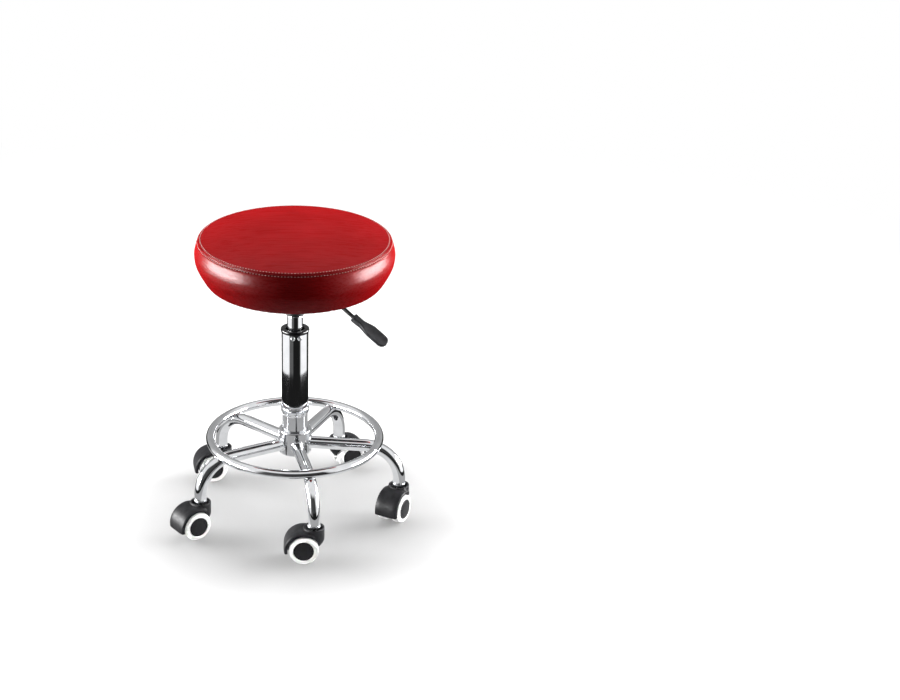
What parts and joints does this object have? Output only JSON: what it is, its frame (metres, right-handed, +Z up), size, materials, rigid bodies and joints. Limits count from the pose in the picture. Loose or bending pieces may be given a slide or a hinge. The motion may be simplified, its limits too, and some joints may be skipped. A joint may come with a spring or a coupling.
{
  "type": "rolling stylist stool",
  "caption": "Round padded stool on a gas lift over a five-legged chrome base with a foot ring, a height lever and twin-wheel swivel casters.",
  "frame": {"origin": "on the floor, under the axis of the gas lift, at the middle of the base", "axes": "+Z up along the lift's axis; -Y is the front, where one leg points almost straight forwards; the height lever points to the front right, between +X and -Y"},
  "size_m": [0.4402, 0.4233, 0.54],
  "materials": {
    "chrome": "mirror-bright chrome plate",
    "steel": "zinc-plated steel",
    "black_steel": "satin black powder coat",
    "black_nylon": "satin moulded nylon",
    "grey_nylon": "satin moulded nylon, dark grey",
    "tread": "matt white soft tread",
    "leather": "glossy red synthetic leather with a fine grain",
    "foam": "open-cell foam",
    "plywood": "plain plywood",
    "lining": "black non-woven lining",
    "brass": "plain brass"
  },
  "bodies": {
    "base": {"hub_tube": "chrome", "hub_sleeve": "chrome", "foot_ring": "chrome", "leg_1": "chrome", "leg_2": "chrome", "leg_3": "chrome", "leg_4": "chrome", "leg_5": "chrome", "column_tube": "chrome", "column_cap": "black_nylon", "guide_bush": "black_nylon", "guide_screw_1": "steel", "guide_screw_2": "steel", "bearing_race_lower": "steel", "caster_stem_1": "steel", "caster_stem_2": "steel", "caster_stem_3": "steel", "caster_stem_4": "steel", "caster_stem_5": "steel"},
    "bearing_cage": {"bearing_cage": "brass"},
    "piston_rod": {"piston_rod": "chrome", "piston": "black_nylon", "bearing_race_upper": "steel", "retaining_clip": "steel"},
    "seat": {"gas_cylinder": "chrome", "cylinder_gland": "brass", "taper_socket": "black_steel", "seat_plate": "black_steel", "seat_board": "plywood", "seat_foam": "foam", "seat_cover": "leather", "dust_cover": "lining", "seat_bolt_1": "steel", "seat_bolt_2": "steel", "seat_bolt_3": "steel", "seat_bolt_4": "steel", "lever_pivot_pin": "steel"},
    "lever": {"lever_rod": "black_steel", "lever_handle": "grey_nylon"},
    "release_pin": {"release_pin": "steel"},
    "caster_1": {"caster_hood_1": "black_nylon", "caster_axle_1": "steel"},
    "wheel_1_a": {"wheel_1_a": "tread"},
    "wheel_1_b": {"wheel_1_b": "tread"},
    "caster_2": {"caster_hood_2": "black_nylon", "caster_axle_2": "steel"},
    "wheel_2_a": {"wheel_2_a": "tread"},
    "wheel_2_b": {"wheel_2_b": "tread"},
    "caster_3": {"caster_hood_3": "black_nylon", "caster_axle_3": "steel"},
    "wheel_3_a": {"wheel_3_a": "tread"},
    "wheel_3_b": {"wheel_3_b": "tread"},
    "caster_4": {"caster_hood_4": "black_nylon", "caster_axle_4": "steel"},
    "wheel_4_a": {"wheel_4_a": "tread"},
    "wheel_4_b": {"wheel_4_b": "tread"},
    "caster_5": {"caster_hood_5": "black_nylon", "caster_axle_5": "steel"},
    "wheel_5_a": {"wheel_5_a": "tread"},
    "wheel_5_b": {"wheel_5_b": "tread"}
  },
  "joints": [
    {"name": "seat_swivel", "type": "hinge", "parent": "base", "child": "piston_rod", "pos_m": [0, 0, 0.1345], "axis": [0, 0, 1], "continuous": true},
    {"name": "cage_turn", "type": "hinge", "parent": "base", "child": "bearing_cage", "pos_m": [0, 0, 0.1295], "axis": [0, 0, 1], "continuous": true},
    {"name": "seat_height", "type": "slide", "parent": "piston_rod", "child": "seat", "axis": [0, 0, 1], "range_m": [-0.04, 0.11]},
    {"name": "lever_pull", "type": "hinge", "parent": "seat", "child": "lever", "pos_m": [0.02079, -0.012, 0.4345], "axis": [-0.5, -0.866, 0], "range_deg": [0, 8], "stiffness_Nm_per_rad": 2, "springref_deg": -11.46},
    {"name": "pin_press", "type": "slide", "parent": "seat", "child": "release_pin", "axis": [0, 0, 1], "range_m": [-0.004, 0]},
    {"name": "caster_1_swivel", "type": "hinge", "parent": "base", "child": "caster_1", "pos_m": [0.03299, -0.18711, 0.05], "axis": [0, 0, 1], "continuous": true},
    {"name": "wheel_1_a_roll", "type": "hinge", "parent": "caster_1", "child": "wheel_1_a", "pos_m": [0.01499, -0.18711, 0.026], "axis": [0, 1, 0], "continuous": true},
    {"name": "wheel_1_b_roll", "type": "hinge", "parent": "caster_1", "child": "wheel_1_b", "pos_m": [0.01499, -0.18711, 0.026], "axis": [0, 1, 0], "continuous": true},
    {"name": "caster_2_swivel", "type": "hinge", "parent": "base", "child": "caster_2", "pos_m": [0.18815, -0.02644, 0.05], "axis": [0, 0, 1], "continuous": true},
    {"name": "wheel_2_a_roll", "type": "hinge", "parent": "caster_2", "child": "wheel_2_a", "pos_m": [0.17915, -0.04203, 0.026], "axis": [-0.866, 0.5, 0], "continuous": true},
    {"name": "wheel_2_b_roll", "type": "hinge", "parent": "caster_2", "child": "wheel_2_b", "pos_m": [0.17915, -0.04203, 0.026], "axis": [-0.866, 0.5, 0], "continuous": true},
    {"name": "caster_3_swivel", "type": "hinge", "parent": "base", "child": "caster_3", "pos_m": [0.08329, 0.17077, 0.05], "axis": [0, 0, 1], "continuous": true},
    {"name": "wheel_3_a_roll", "type": "hinge", "parent": "caster_3", "child": "wheel_3_a", "pos_m": [0.09986, 0.1778, 0.026], "axis": [0.3907, -0.9205, 0], "continuous": true},
    {"name": "wheel_3_b_roll", "type": "hinge", "parent": "caster_3", "child": "wheel_3_b", "pos_m": [0.09986, 0.1778, 0.026], "axis": [0.3907, -0.9205, 0], "continuous": true},
    {"name": "caster_4_swivel", "type": "hinge", "parent": "base", "child": "caster_4", "pos_m": [-0.13667, 0.13198, 0.05], "axis": [0, 0, 1], "continuous": true},
    {"name": "wheel_4_a_roll", "type": "hinge", "parent": "caster_4", "child": "wheel_4_a", "pos_m": [-0.1545, 0.12948, 0.026], "axis": [-0.1392, 0.9903, 0], "continuous": true},
    {"name": "wheel_4_b_roll", "type": "hinge", "parent": "caster_4", "child": "wheel_4_b", "pos_m": [-0.1545, 0.12948, 0.026], "axis": [-0.1392, 0.9903, 0], "continuous": true},
    {"name": "caster_5_swivel", "type": "hinge", "parent": "base", "child": "caster_5", "pos_m": [-0.16776, -0.0892, 0.05], "axis": [0, 0, 1], "continuous": true},
    {"name": "wheel_5_a_roll", "type": "hinge", "parent": "caster_5", "child": "wheel_5_a", "pos_m": [-0.18268, -0.09927, 0.026], "axis": [-0.5592, 0.829, 0], "continuous": true},
    {"name": "wheel_5_b_roll", "type": "hinge", "parent": "caster_5", "child": "wheel_5_b", "pos_m": [-0.18268, -0.09927, 0.026], "axis": [-0.5592, 0.829, 0], "continuous": true}
  ],
  "couplings": [
    {"joint": "pin_press", "follows": "lever_pull", "m_per_rad": -0.024},
    {"joint": "cage_turn", "follows": "seat_swivel", "ratio": 0.5}
  ]
}
